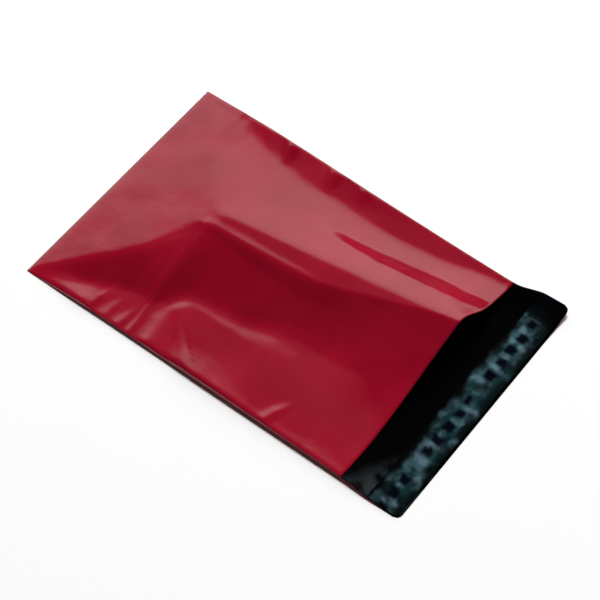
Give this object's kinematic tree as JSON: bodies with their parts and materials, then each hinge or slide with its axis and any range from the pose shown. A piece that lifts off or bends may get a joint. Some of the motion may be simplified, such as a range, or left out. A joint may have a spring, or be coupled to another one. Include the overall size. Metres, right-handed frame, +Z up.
{
  "type": "poly mailer bag",
  "caption": "Flat plastic mailing bag, empty and slightly puffed, open at one end, with a dark inner flap that carries a glue strip under a release liner.",
  "frame": {"origin": "on the surface that the bag lies on, under the middle of its outline", "axes": "+X along the bag from the bottom fold to the end of the flap, +Y across it to the far side, +Z up through the front panel"},
  "size_m": [0.27, 0.17, 0.0208],
  "materials": {
    "bag_film": "glossy deep red film outside, black inside",
    "glue": "tacky clear glue over black film",
    "liner": "clear blue-green release film with a row of dark spots"
  },
  "bodies": {
    "root": {"mailer_bag": "bag_film", "adhesive_strip": "glue", "release_liner": "liner"}
  },
  "joints": []
}
